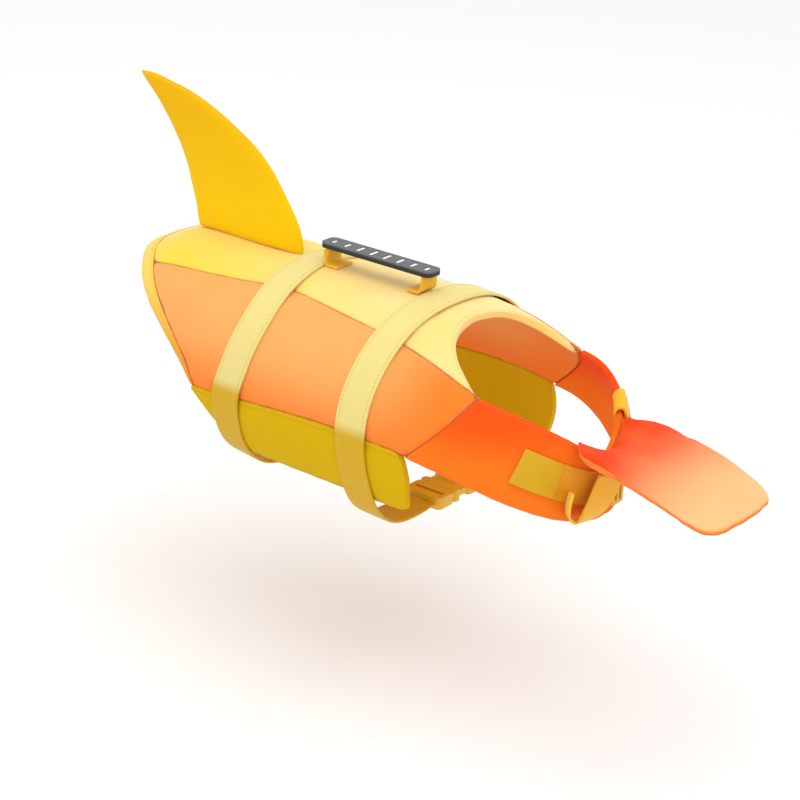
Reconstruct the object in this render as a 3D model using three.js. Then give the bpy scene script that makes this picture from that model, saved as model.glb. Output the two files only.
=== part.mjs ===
// A buoyancy jacket with a dorsal fin, shown as it is worn.
// Millimetres. +X runs towards the neck, +Y to the wearer's left, +Z up.
// The origin is on the spine, on the inner face of the back panel, below the fin's front foot.
import * as THREE from "three";

// Driving dimensions
const WALL = 6; // foam-backed cloth of the body panels
const BAND_WALL = 4; // neoprene of the chest band
const PUFF = 2.2; // how far the middle of a body panel stands over its seams
const BAND_PUFF = 1.4;
const SEAM = 0.4; // clear gap between neighbours at a seam
const LIFT = 0.35; // clear gap between a piece and what it lies on
const SQUARENESS = 2.3; // exponent of the torso's rounded section
const STRAP_WIDTH = 25;
const STRAP_THICK = 1.8;
const FIN_THICK = 13;
const BUCKLE = { length: 48, width: 33, thick: 9, plug: 0.4, corner: 5, bevel: 1.5 };
const GRIP = { rear: 20, length: 101, width: 17, thick: 4, corner: 5, height: 14.5 };
const SLOTS = { count: 8, pitch: 12.2, first: 7.8, shortest: 5.5, longest: 11, width: 3.4, uneven: 0.08 };
const HANDLE = { width: 20, thick: 1.8, foot: 12, bend: 4, inset: 6.5 };
const CHEST_STRAP_ENDS = [-52, 52]; // degrees round the band from the middle of the front
const NECK_TAB = { place: 37.5, width: 20, inner: 18, outer: 9, perDegree: 1.45 };
const SLIDER = { x: 283.6, y: 6, z: -98.5, height: 32, width: 14, thick: 3, bar: 3.2, corner: 1.5 };
const BELLY = { from: 110, rear: 22, front: 30 }; // how far the belts run above the torso's own belly
const BORDER = { roll: 2.5, end: -24 }; // how far its free edge rolls in, and where it ends
const BAND_LENGTH = 120; // one half of the chest band, roughly
const FIN_EDGE = 0.28; // thickness of the fin at its rim, as a share of its middle's
const FLOAT_EDGE = 0.42; // the same for the chin float
const LOOP_SLOPE = -0.35; // how much the chest strap's loop is tipped down across its width

// The torso's form at the seams: a row for each section across the body.
const SECTIONS = [
  { at: -140, ridge: -14, wide: -69, belly: -130, half: 72 },
  { at: -104, ridge: -2.5, wide: -71, belly: -138, half: 85 },
  { at: -50, ridge: -1.5, wide: -74, belly: -150, half: 95 },
  { at: 20, ridge: -1.5, wide: -76, belly: -160, half: 99.5 },
  { at: 100, ridge: -1.5, wide: -80, belly: -170, half: 101.5 },
  { at: 160, ridge: -5, wide: -84, belly: -175, half: 99 },
  { at: 220, ridge: -21, wide: -88, belly: -175, half: 88 },
];
// Seams and edges that run lengthwise: angles from the spine, for a place along the body.
const LENGTHWISE = [
  { at: -124, top: 43, bottom: 98, edge: 127 },
  { at: -80, top: 37, bottom: 98, edge: 127 },
  { at: -24, top: 32, bottom: 97, edge: 126 },
  { at: 26, top: 27.5, bottom: 93, edge: 124 },
  { at: 74, top: 31, bottom: 89, edge: 120 },
  { at: 114, top: 34, bottom: 86.5, edge: 117 },
  { at: 158, top: 38, bottom: 86, edge: 116 },
  { at: 209, top: 44, bottom: 88, edge: 116 },
];
// The rear edge and the width of its border: places along the body, for an angle from the spine.
const REAR = [
  { at: 0, edge: -141, border: 17 },
  { at: 20, edge: -138, border: 17 },
  { at: 38, edge: -121, border: 17 },
  { at: 53, edge: -102, border: 19 },
  { at: 63, edge: -84, border: 19 },
  { at: 73, edge: -63, border: 16 },
  { at: 85, edge: -43, border: 11 },
  { at: 99, edge: -26, border: 5 },
  { at: 112, edge: -7, border: 5 },
  { at: 127, edge: 14, border: 5 },
];
// The neckline over the back, the slanting chest seam below its corner, and the armhole.
const NECK = [
  { at: 0, edge: 158 },
  { at: 15, edge: 163 },
  { at: 25, edge: 171 },
  { at: 35, edge: 186 },
  { at: 44, edge: 209 },
];
const CHEST_SEAM = [
  { at: 44, edge: 209 },
  { at: 61, edge: 200 },
  { at: 75, edge: 187 },
  { at: 88, edge: 171 },
];
const ARMHOLE = [
  { at: 86, edge: 168 },
  { at: 92, edge: 171.5 },
  { at: 102, edge: 175 },
  { at: 117, edge: 172 },
];
// The belts' middles, for an angle from the spine.
const BELTS = [
  { at: 0, rear: 12.6, front: 129 },
  { at: 25, rear: 18, front: 129 },
  { at: 50, rear: 23, front: 130 },
  { at: 75, rear: 19, front: 129 },
  { at: 92, rear: 13, front: 130 },
  { at: 110, rear: 14, front: 135 },
  { at: 130, rear: 17, front: 138 },
  { at: 180, rear: 18, front: 138 },
];
// The fin's outline by height over its base.
const FIN = [
  { at: 0, rear: -105, front: -1.5 },
  { at: 18, rear: -109, front: -6 },
  { at: 36, rear: -115, front: -17.5 },
  { at: 54, rear: -122.5, front: -31 },
  { at: 70, rear: -132, front: -48 },
  { at: 84, rear: -143.5, front: -70 },
  { at: 96, rear: -155, front: -95 },
  { at: 104, rear: -163.5, front: -117 },
  { at: 109, rear: -168.5, front: -141 },
  { at: 111, rear: -170, front: -158 },
];
// The chin float from its root at the neckline to its tip: upper face on the middle line, how far
// its sides are raised and set back, half its width, and its thickness.
const FLOAT = [
  { at: 0, reach: 275.5, height: -76.8, raise: 21.5, back: 8, half: 30, thick: 5 },
  { at: 0.1, reach: 284, height: -70.5, raise: 12, back: 6, half: 43, thick: 10 },
  { at: 0.24, reach: 301, height: -64, raise: 5, back: 2, half: 49, thick: 14 },
  { at: 0.42, reach: 325, height: -65, raise: 0, back: 0, half: 51.5, thick: 15 },
  { at: 0.62, reach: 351, height: -71, raise: -2, back: 0, half: 51.5, thick: 15 },
  { at: 0.8, reach: 374, height: -77.5, raise: -3, back: 1, half: 49.5, thick: 14 },
  { at: 0.93, reach: 388, height: -82, raise: -3, back: 3, half: 43, thick: 12 },
  { at: 1, reach: 394, height: -85, raise: -2, back: 4, half: 34, thick: 8 },
];
// The chest strap's loose loop under the float: its middle line, and the turn of its width from
// +Y towards -X, in degrees.
const TAIL = [
  { at: 0, x: 287.5, y: -10, z: -87.5, turn: -14 },
  { at: 0.15, x: 287, y: -14, z: -93, turn: -14 },
  { at: 0.3, x: 286.5, y: -19, z: -100.5, turn: -12 },
  { at: 0.45, x: 285.5, y: -27, z: -109, turn: -4 },
  { at: 0.6, x: 283.5, y: -39.5, z: -113.5, turn: 18 },
  { at: 0.75, x: 280.5, y: -50.5, z: -107.5, turn: 34 },
  { at: 0.88, x: 280, y: -52.5, z: -98, turn: 37 },
  { at: 1, x: 280.5, y: -50.5, z: -88.5, turn: 37 },
];
const FLOAT_ROOT = 0.24; // share of the float over which its V-shaped root flattens out
// The chest band where its two halves meet at the front.
const FRONT = { reach: 275, deeper: 4, top: -83, bottom: -124, fallAbove: 1.6, fallBelow: 1.7 };

const radians = THREE.MathUtils.degToRad;
const mix = THREE.MathUtils.lerp;
const UP = new THREE.Vector3(0, 0, 1);

// A smooth value from one column of a table whose rows are sorted by "at".
function along(rows, column, at) {
  const last = rows.length - 1;
  let row = 0;
  while (row < last - 1 && at > rows[row + 1].at) {
    row += 1;
  }
  const slope = (low, high) => {
    const [a, b] = [rows[Math.max(low, 0)], rows[Math.min(high, last)]];
    return (b[column] - a[column]) / (b.at - a.at);
  };
  const [from, to] = [rows[row], rows[row + 1]];
  const span = to.at - from.at;
  const t = (at - from.at) / span;
  if (t < 0 || t > 1) {
    const end = t < 0 ? from : to;
    return end[column] + slope(row, row + 1) * (at - end.at);
  }
  const leave = slope(row - 1, row + 1) * span;
  const arrive = slope(row, row + 2) * span;
  return (
    (2 * t ** 3 - 3 * t ** 2 + 1) * from[column] +
    (t ** 3 - 2 * t ** 2 + t) * leave +
    (3 * t ** 2 - 2 * t ** 3) * to[column] +
    (t ** 3 - t ** 2) * arrive
  );
}

// A point of the torso's form. The angle is in degrees from the spine, negative on the right.
function torso(x, angle) {
  const [up, out] = [Math.cos(radians(angle)), Math.sin(radians(angle))];
  const round = (Math.abs(up) ** SQUARENESS + Math.abs(out) ** SQUARENESS) ** (-1 / SQUARENESS);
  const wide = along(SECTIONS, "wide", x);
  const tall = Math.abs(along(SECTIONS, up > 0 ? "ridge" : "belly", x) - wide);
  return new THREE.Vector3(x, along(SECTIONS, "half", x) * round * out, wide + tall * round * up);
}

// A point of the chest band: round from the seam, 0 degrees, to the middle of the front, 90, and
// down from its top edge, 0, to its bottom edge, 1.
function chest(side, round, down) {
  const [first, last] = [CHEST_SEAM[0].at, CHEST_SEAM[CHEST_SEAM.length - 1].at];
  const angle = mix(first, last, down);
  const seam = torso(along(CHEST_SEAM, "edge", angle), angle);
  const turn = Math.sin(radians(round));
  const reach = FRONT.reach + FRONT.deeper * down;
  const low = mix(FRONT.top, FRONT.bottom, down);
  const fall = mix((round / 90) ** FRONT.fallAbove, turn ** FRONT.fallBelow, down);
  const y = side * seam.y * Math.cos(radians(round));
  return new THREE.Vector3(mix(seam.x, reach, turn), y, mix(seam.z, low, fall));
}

// The outward normal of a surface given by a function of two numbers, by small steps of them.
function normal(surface, a, b, steps, facing) {
  const first = surface(a + steps[0], b).sub(surface(a - steps[0], b));
  const second = surface(a, b + steps[1]).sub(surface(a, b - steps[1]));
  return first.cross(second).normalize().multiplyScalar(facing);
}

function overTorso(x, angle, height) {
  return torso(x, angle).addScaledVector(normal(torso, x, angle, [1, 1], 1), height);
}

function overChest(side, round, down, height) {
  const surface = (a, b) => chest(side, a, b);
  const inside = Math.min(Math.max(round, 1), 89.5);
  const outward = normal(surface, inside, down, [0.5, 0.01], side);
  return surface(round, down).addScaledVector(outward, height);
}

// Full height over most of a panel, and none at its edges.
function plateau(share) {
  return 1 - Math.abs(2 * share - 1) ** 6;
}

// A closed body between two faces, each a function of two shares from 0 to 1.
function wall(across, down, outer, inner) {
  const points = [];
  for (const face of [outer, inner]) {
    for (let i = 0; i <= across; i += 1) {
      for (let j = 0; j <= down; j += 1) {
        points.push(face(i / across, j / down));
      }
    }
  }
  const layer = (across + 1) * (down + 1);
  const at = (i, j, face) => face * layer + i * (down + 1) + j;
  const faces = [];
  const quad = (a, b, c, d) => faces.push(a, b, c, a, c, d);
  for (let i = 0; i < across; i += 1) {
    for (let j = 0; j < down; j += 1) {
      quad(at(i, j, 0), at(i + 1, j, 0), at(i + 1, j + 1, 0), at(i, j + 1, 0));
      quad(at(i, j, 1), at(i, j + 1, 1), at(i + 1, j + 1, 1), at(i + 1, j, 1));
    }
    quad(at(i, 0, 0), at(i, 0, 1), at(i + 1, 0, 1), at(i + 1, 0, 0));
    quad(at(i, down, 0), at(i + 1, down, 0), at(i + 1, down, 1), at(i, down, 1));
  }
  for (let j = 0; j < down; j += 1) {
    quad(at(0, j, 0), at(0, j + 1, 0), at(0, j + 1, 1), at(0, j, 1));
    quad(at(across, j, 0), at(across, j, 1), at(across, j + 1, 1), at(across, j + 1, 0));
  }
  return closed(points, faces);
}

// A geometry whose faces point outwards, whichever way they were listed.
function closed(points, faces) {
  let volume = 0;
  for (let i = 0; i < faces.length; i += 3) {
    const [a, b, c] = [points[faces[i]], points[faces[i + 1]], points[faces[i + 2]]];
    volume += a.dot(b.clone().cross(c));
  }
  const geometry = new THREE.BufferGeometry().setFromPoints(points);
  geometry.setIndex(volume < 0 ? faces.reverse() : faces);
  geometry.computeVertexNormals();
  return geometry;
}

const FINISHES = {
  yellowCloth: { color: 0xf4c516, roughness: 0.85, metalness: 0 },
  paleCloth: { color: 0xffdf45, roughness: 0.85, metalness: 0 },
  mustardCloth: { color: 0xdcb808, roughness: 0.85, metalness: 0 },
  orangeCloth: { color: 0xff8a35, roughness: 0.8, metalness: 0 },
  webbing: { color: 0xf0dc62, roughness: 0.7, metalness: 0 },
  rubber: { color: 0x3a3c42, roughness: 0.6, metalness: 0 },
  plastic: { color: 0xe5c51e, roughness: 0.4, metalness: 0 },
};

const jacket = new THREE.Group();

function add(name, geometry, finish) {
  const mesh = new THREE.Mesh(geometry, new THREE.MeshStandardMaterial(finish));
  mesh.name = name;
  jacket.add(mesh);
  return mesh;
}

const rearEdge = (angle) => along(REAR, "edge", Math.abs(angle));
const borderSeam = (angle) => rearEdge(angle) + along(REAR, "border", Math.abs(angle));
const neckline = (angle) => along(NECK, "edge", Math.abs(angle));
const chestSeam = (angle) => along(CHEST_SEAM, "edge", Math.abs(angle));
const armhole = (angle) => along(ARMHOLE, "edge", Math.abs(angle));
const topSeam = (x) => along(LENGTHWISE, "top", x);
const bottomSeam = (x) => along(LENGTHWISE, "bottom", x);
const bottomEdge = (x) => along(LENGTHWISE, "edge", x);

// A body panel between two lengthwise seams and two round edges. The edges depend on each other,
// so each point is settled by a few turns.
function bodyPanel(side, steps, size, edges) {
  const place = (i, j) => {
    const a = mix(SEAM / 2 / size.along, 1 - SEAM / 2 / size.along, i);
    const b = mix(SEAM / 2 / size.round, 1 - SEAM / 2 / size.round, j);
    let [x, angle] = [mix(edges.behind(60), edges.before(60), a), 0];
    for (let turn = 0; turn < 12; turn += 1) {
      angle = mix(edges.above(x), edges.below(x), b);
      x = mix(x, mix(edges.behind(angle), edges.before(angle), a), 0.7);
    }
    return [x, side * angle];
  };
  const outer = (i, j) => overTorso(...place(i, j), PUFF * plateau(i) * plateau(j));
  const inner = (i, j) => overTorso(...place(i, j), -WALL);
  return wall(steps.along, steps.round, outer, inner);
}

// The rear border runs over the spine from one bottom seam to the other.
function rearBorder() {
  const reach = bottomSeam(BORDER.end) - SEAM;
  const face = (depth) => (i, j) => {
    const angle = mix(-reach, reach, i);
    const x = mix(rearEdge(angle), borderSeam(angle) - SEAM, j);
    return overTorso(x, angle, depth - BORDER.roll * (1 - j) ** 2);
  };
  return wall(48, 4, face(0), face(BORDER.roll / 2 - WALL));
}

function chestBand(side) {
  const trim = SEAM / 2 / BAND_LENGTH;
  const place = (i, j) => [side, 90 * mix(trim, 1 - 2 * trim, i), j];
  const outer = (i, j) => overChest(...place(i, j), BAND_PUFF * plateau(i) * plateau(j));
  const inner = (i, j) => overChest(...place(i, j), -BAND_WALL);
  return wall(18, 8, outer, inner);
}

// The fin narrows to rounded edges and stands on the back panel.
function fin() {
  const crown = FIN[FIN.length - 1].at;
  const face = (side) => (i, j) => {
    const height = crown * i;
    const lean = 1 - Math.cos(Math.PI * j);
    const x = mix(along(FIN, "rear", height), along(FIN, "front", height), lean / 2);
    const edge = mix(FIN_EDGE, 1, 1 - Math.abs(Math.cos(Math.PI * j)) ** 5);
    const thin = 1 - 0.5 * i ** 3;
    const foot = overTorso(x, 0, PUFF + LIFT).z * Math.max(0, 1 - i / 0.4);
    return new THREE.Vector3(x, (side * FIN_THICK * edge * thin) / 2, height + foot);
  };
  return wall(16, 14, face(1), face(-1));
}

// A belt of webbing over the back and sides and under the belly, open where its buckle goes.
function beltReach(column) {
  const half = along(SECTIONS, "half", along(BELTS, column, 180)) + STRAP_THICK / 2;
  return 180 - THREE.MathUtils.radToDeg(Math.asin((BUCKLE.length / 2 + 3 * LIFT) / half));
}

// The belts are drawn up flatter than the torso's form below the lower panels' edges.
function overBelly(column, x, angle, height) {
  const surface = (place, turn) => {
    const past = Math.min(Math.max((Math.abs(turn) - BELLY.from) / (180 - BELLY.from), 0), 1);
    return torso(place, turn).addScaledVector(UP, (BELLY[column] * (1 - Math.cos(Math.PI * past))) / 2);
  };
  return surface(x, angle).addScaledVector(normal(surface, x, angle, [1, 1], 1), height);
}

function belt(column) {
  const reach = beltReach(column);
  const face = (height) => (i, j) => {
    const angle = mix(-reach, reach, i);
    const x = along(BELTS, column, Math.abs(angle)) + STRAP_WIDTH * (j - 0.5);
    return overBelly(column, x, angle, PUFF + LIFT + height);
  };
  return wall(76, 2, face(STRAP_THICK), face(0));
}

// A place on the chest band for a piece of webbing that runs round it at half its height. The place
// is in degrees from the middle of the front, negative on the right, and across runs from -1 to 1.
function overBand(place, across, height, rise = 0) {
  const side = place < 0 ? -1 : 1;
  const round = 90 - Math.abs(place);
  const tall = chest(side, round, 0).distanceTo(chest(side, round, 1));
  const down = 0.5 - rise / tall + (across * STRAP_WIDTH) / 2 / tall;
  return overChest(side, round, down, height);
}

// The strap along the chest band, from its stitched patch on the right to its end on the left.
function chestStrap() {
  const face = (height) => (i, j) => {
    return overBand(mix(...CHEST_STRAP_ENDS, i), 2 * j - 1, BAND_PUFF + LIFT + height);
  };
  return wall(36, 2, face(STRAP_THICK), face(0));
}

// Webbing folded over the neckline on the left of the float, from inside the band to outside it.
function neckTab() {
  const inside = -BAND_WALL - LIFT;
  const outside = BAND_PUFF + LIFT;
  const middle = (inside + outside) / 2;
  const half = (outside - inside) / 2;
  const [start, end] = [0.3, 0.7]; // shares of its length where the fold begins and ends
  const path = (i) => {
    const bend = Math.PI * Math.min(Math.max((i - start) / (end - start), 0), 1);
    const inner = NECK_TAB.inner * Math.max(0, 1 - i / start);
    const outer = NECK_TAB.outer * Math.max(0, (i - end) / (1 - end));
    return { out: -Math.cos(bend), over: Math.sin(bend), leg: inner + outer };
  };
  const face = (thick) => (i, j) => {
    const { out, over, leg } = path(i);
    const round = 90 - NECK_TAB.place - (NECK_TAB.width * (j - 0.5)) / NECK_TAB.perDegree;
    const tall = chest(1, round, 0).distanceTo(chest(1, round, 1));
    const point = overChest(1, round, leg / tall, middle + (half + thick) * out);
    return point.addScaledVector(UP, LIFT + (half + thick) * over);
  };
  return wall(20, 6, face(STRAP_THICK), face(0));
}

// The loose loop of the chest strap's end.
function tailLoop() {
  const column = (i, name) => along(TAIL, name, i);
  const middle = (i) => new THREE.Vector3(column(i, "x"), column(i, "y"), column(i, "z"));
  const face = (height) => (i, j) => {
    const turn = radians(column(i, "turn"));
    const sideways = new THREE.Vector3(-Math.sin(turn), Math.cos(turn), LOOP_SLOPE).normalize();
    const tangent = middle(i + 0.01).sub(middle(i - 0.01));
    const out = tangent.cross(sideways).normalize();
    return middle(i).addScaledVector(sideways, STRAP_WIDTH * (j - 0.5)).addScaledVector(out, height);
  };
  return wall(24, 2, face(STRAP_THICK / 2), face(-STRAP_THICK / 2));
}

// A rectangle with round corners, and holes cut in it.
function roundedPlate(length, width, corner, holes = []) {
  const shape = new THREE.Shape();
  const [x, y] = [length / 2, width / 2];
  shape.moveTo(-x + corner, -y);
  shape.absarc(x - corner, -y + corner, corner, -Math.PI / 2, 0);
  shape.absarc(x - corner, y - corner, corner, 0, Math.PI / 2);
  shape.absarc(-x + corner, y - corner, corner, Math.PI / 2, Math.PI);
  shape.absarc(-x + corner, -y + corner, corner, Math.PI, 1.5 * Math.PI);
  for (const hole of holes) {
    const path = new THREE.Path();
    path.moveTo(hole.x - hole.length / 2, hole.y - hole.width / 2);
    path.lineTo(hole.x - hole.length / 2, hole.y + hole.width / 2);
    path.lineTo(hole.x + hole.length / 2, hole.y + hole.width / 2);
    path.lineTo(hole.x + hole.length / 2, hole.y - hole.width / 2);
    shape.holes.push(path);
  }
  return shape;
}

// A plate of even thickness, centred on its own middle, with softened edges.
function plate(shape, thick, bevel) {
  const depth = thick - 2 * bevel;
  const edges = { bevelEnabled: bevel > 0, bevelThickness: bevel, bevelSize: bevel, bevelOffset: -bevel };
  const extras = { bevelSegments: 2, curveSegments: 5 };
  const geometry = new THREE.ExtrudeGeometry(shape, { depth, ...edges, ...extras });
  return geometry.translate(0, 0, -depth / 2);
}

function grip() {
  const holes = [];
  for (let slot = 0; slot < SLOTS.count; slot += 1) {
    const x = SLOTS.first + SLOTS.pitch * slot - GRIP.length / 2;
    const longer = Math.sin((Math.PI * (slot + 0.5)) / SLOTS.count);
    const width = mix(SLOTS.shortest, SLOTS.longest, longer) + SLOTS.uneven * slot;
    holes.push({ x, y: 0, length: SLOTS.width, width });
  }
  const shape = roundedPlate(GRIP.length, GRIP.width, GRIP.corner, holes);
  return plate(shape, GRIP.thick, 0);
}

// The handle's webbing: two feet on the back panel, a riser at each end, and the run under the grip.
function handleWebbing() {
  const floor = overTorso(GRIP.rear, 0, PUFF + LIFT).z + HANDLE.thick / 2;
  const top = GRIP.height - LIFT - HANDLE.thick / 2;
  const rear = GRIP.rear + HANDLE.inset;
  const front = GRIP.rear + GRIP.length - HANDLE.inset;
  const bend = HANDLE.bend / 2;
  const corners = [
    [rear + HANDLE.foot, floor],
    [rear + bend, floor],
    [rear, floor + bend],
    [rear, top - bend],
    [rear + bend, top],
    [front - bend, top],
    [front, top - bend],
    [front, floor + bend],
    [front - bend, floor],
    [front - HANDLE.foot, floor],
  ].map(([x, z]) => new THREE.Vector2(x, z));
  const sides = corners.slice(1).map((corner, k) => corner.clone().sub(corners[k]).normalize());
  const miter = (k) => {
    const before = sides[Math.max(k - 1, 0)];
    const after = sides[Math.min(k, sides.length - 1)];
    const out = new THREE.Vector2(-before.y - after.y, before.x + after.x).normalize();
    return out.divideScalar(out.x * -after.y + out.y * after.x);
  };
  const last = corners.length - 1;
  const face = (height) => (i, j) => {
    const k = Math.round(i * last);
    const point = corners[k].clone().addScaledVector(miter(k), height);
    return new THREE.Vector3(point.x, HANDLE.width * (j - 0.5), point.y);
  };
  return wall(last, 1, face(HANDLE.thick / 2), face(-HANDLE.thick / 2));
}

// One half of a side-release buckle, lying across the belly.
function buckleHalf(length) {
  return plate(roundedPlate(length, BUCKLE.width, BUCKLE.corner), BUCKLE.thick, BUCKLE.bevel);
}

// The frame that the chest strap's end is threaded through.
function slider() {
  const width = (SLIDER.width - 3 * SLIDER.bar) / 2;
  const y = (width + SLIDER.bar) / 2;
  const length = SLIDER.height - 2 * SLIDER.bar;
  const holes = [-y, y].map((at) => ({ x: 0, y: at, length, width }));
  return plate(roundedPlate(SLIDER.height, SLIDER.width, SLIDER.corner, holes), SLIDER.thick, 0);
}

function chinFloat() {
  const row = (i, column) => along(FLOAT, column, i);
  const face = (share) => (i, j) => {
    const across = Math.sin((Math.PI / 2) * (2 * j - 1));
    const edge = mix(FLOAT_EDGE, 1, 1 - Math.abs(across) ** 6);
    const x = row(i, "reach") - row(i, "back") * across ** 2;
    const bow = mix(1, 2, Math.min(1, i / FLOAT_ROOT));
    const middle = row(i, "height") + row(i, "raise") * Math.abs(across) ** bow - row(i, "thick") / 2;
    return new THREE.Vector3(x, row(i, "half") * across, middle + share * row(i, "thick") * edge);
  };
  return wall(20, 14, face(0.5), face(-0.5));
}

const SIDES = { right: -1, left: 1 };

const backEdges = { above: (x) => -topSeam(x), below: topSeam, behind: borderSeam, before: neckline };
const backPanel = bodyPanel(1, { along: 26, round: 12 }, { along: 285, round: 110 }, backEdges);
add("back_panel", backPanel, FINISHES.paleCloth);
add("rear_border", rearBorder(), FINISHES.paleCloth);
for (const [name, side] of Object.entries(SIDES)) {
  const sideEdges = { above: topSeam, below: bottomSeam, behind: borderSeam, before: chestSeam };
  const sidePanel = bodyPanel(side, { along: 28, round: 12 }, { along: 270, round: 100 }, sideEdges);
  add(`side_panel_${name}`, sidePanel, FINISHES.orangeCloth);
  const lowEdges = { above: bottomSeam, below: bottomEdge, behind: rearEdge, before: armhole };
  const lowerPanel = bodyPanel(side, { along: 20, round: 6 }, { along: 180, round: 55 }, lowEdges);
  add(`lower_panel_${name}`, lowerPanel, FINISHES.mustardCloth);
  add(`chest_band_${name}`, chestBand(side), FINISHES.orangeCloth);
}
add("fin", fin(), FINISHES.yellowCloth);
add("chin_float", chinFloat(), FINISHES.orangeCloth);
add("chest_strap", chestStrap(), FINISHES.webbing);
add("chest_strap_loop", tailLoop(), FINISHES.webbing);
add("neck_tab", neckTab(), FINISHES.webbing);

const chestSlider = add("chest_slider", slider(), FINISHES.plastic);
chestSlider.rotation.y = Math.PI / 2;
chestSlider.position.set(SLIDER.x, SLIDER.y, SLIDER.z);

for (const column of ["rear", "front"]) {
  add(`belt_${column}`, belt(column), FINISHES.webbing);
  const reach = beltReach(column);
  const x = along(BELTS, column, 180);
  const z = overBelly(column, x, reach, PUFF + LIFT + STRAP_THICK / 2).z;
  const plug = BUCKLE.length * BUCKLE.plug;
  const socket = BUCKLE.length - plug - LIFT;
  const halves = {
    plug: { length: plug, y: (plug - BUCKLE.length) / 2 },
    socket: { length: socket, y: (BUCKLE.length - socket) / 2 },
  };
  for (const [half, { length, y }] of Object.entries(halves)) {
    const buckle = add(`buckle_${half}_${column}`, buckleHalf(length), FINISHES.plastic);
    buckle.rotation.z = Math.PI / 2;
    buckle.position.set(x, y, z);
  }
}

add("handle_webbing", handleWebbing(), FINISHES.webbing);
const handleGrip = add("handle_grip", grip(), FINISHES.rubber);
handleGrip.position.set(GRIP.rear + GRIP.length / 2, 0, GRIP.height + GRIP.thick / 2);

// The origin comes to the inner face of the back panel.
jacket.position.z = WALL - along(SECTIONS, "ridge", 0);

export default jacket;
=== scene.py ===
import math

import bmesh
import bpy
from mathutils import Matrix, Vector, noise
from mathutils.bvhtree import BVHTree
from mathutils.kdtree import KDTree


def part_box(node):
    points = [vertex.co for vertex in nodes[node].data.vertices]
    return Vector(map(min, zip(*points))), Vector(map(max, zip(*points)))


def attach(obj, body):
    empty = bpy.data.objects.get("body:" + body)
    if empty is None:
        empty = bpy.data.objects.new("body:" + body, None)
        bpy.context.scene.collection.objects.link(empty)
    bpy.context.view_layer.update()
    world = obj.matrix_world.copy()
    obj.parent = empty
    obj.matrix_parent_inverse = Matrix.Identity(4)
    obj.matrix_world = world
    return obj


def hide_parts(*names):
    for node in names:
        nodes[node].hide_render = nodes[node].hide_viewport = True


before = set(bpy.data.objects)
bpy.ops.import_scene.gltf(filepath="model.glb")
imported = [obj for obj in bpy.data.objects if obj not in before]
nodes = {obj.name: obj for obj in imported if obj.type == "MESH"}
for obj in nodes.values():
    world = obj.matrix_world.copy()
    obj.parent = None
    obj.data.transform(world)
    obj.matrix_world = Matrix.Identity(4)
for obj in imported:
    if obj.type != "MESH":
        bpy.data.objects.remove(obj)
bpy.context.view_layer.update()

scene = bpy.context.scene
MM = 0.001
BODY = "root"
SHARP = math.radians(38)  # edges sharper than this part the outside, the inside and the rim

# The camera looks down on the wearer's right side from in front.
AIM = Vector((95.97, 0, -81.73)) * MM
AZIMUTH, ELEVATION, PITCH = (math.radians(angle) for angle in (37, 20, 4))
DISTANCE = 1.6
LENS, SENSOR = 96.75, 36


def place_camera():
    pitch = Matrix.Rotation(-PITCH, 3, "Y")
    level = Vector((-math.sin(AZIMUTH), math.cos(AZIMUTH), 0))
    right = pitch @ Vector((math.cos(AZIMUTH), math.sin(AZIMUTH), 0))
    view = pitch @ (level * math.cos(ELEVATION) - Vector((0, 0, math.sin(ELEVATION))))
    upward = right.cross(view)
    camera = bpy.data.objects.new("camera", bpy.data.cameras.new("camera"))
    camera.data.lens, camera.data.sensor_width = LENS, SENSOR
    turn = Matrix((right, upward, -view)).transposed().to_4x4()
    camera.matrix_world = Matrix.Translation(AIM - view * DISTANCE) @ turn
    scene.collection.objects.link(camera)
    scene.camera = camera


place_camera()


# Materials

def linear(colour):
    """An sRGB hex colour as linear red, green, blue and alpha."""
    shares = [int(colour[k : k + 2], 16) / 255 for k in (1, 3, 5)]
    return [s / 12.92 if s <= 0.04045 else ((s + 0.055) / 1.055) ** 2.4 for s in shares] + [1]


def add(tree, kind, links=None, **settings):
    """Add a node with its settings, and with values or other nodes' sockets in its inputs."""
    made = tree.nodes.new("ShaderNode" + kind)
    for name, value in settings.items():
        setattr(made, name, value)
    for socket, value in (links or {}).items():
        if isinstance(value, bpy.types.NodeSocket):
            tree.links.new(value, made.inputs[socket])
        else:
            made.inputs[socket].default_value = value
    return made


def finish(name):
    """An empty material, its node tree and its shader."""
    material = bpy.data.materials.new(name)
    material.use_nodes = True
    tree = material.node_tree
    shader = next(node for node in tree.nodes if node.type == "BSDF_PRINCIPLED")
    return material, tree, shader


def fading(tree, coordinates, axis, ends, colours):
    """A colour that changes between two places along one axis of the piece."""
    split = add(tree, "SeparateXYZ", {0: coordinates})
    reach = {"Value": split.outputs[axis], "From Min": ends[0] * MM, "From Max": ends[1] * MM}
    share = add(tree, "MapRange", reach, interpolation_type="SMOOTHSTEP")
    first, last = (linear(c) if isinstance(c, str) else c for c in colours[:2])
    mixed = {0: share.outputs[0], 6: first, 7: last}
    return add(tree, "Mix", mixed, data_type="RGBA").outputs[2]


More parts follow.
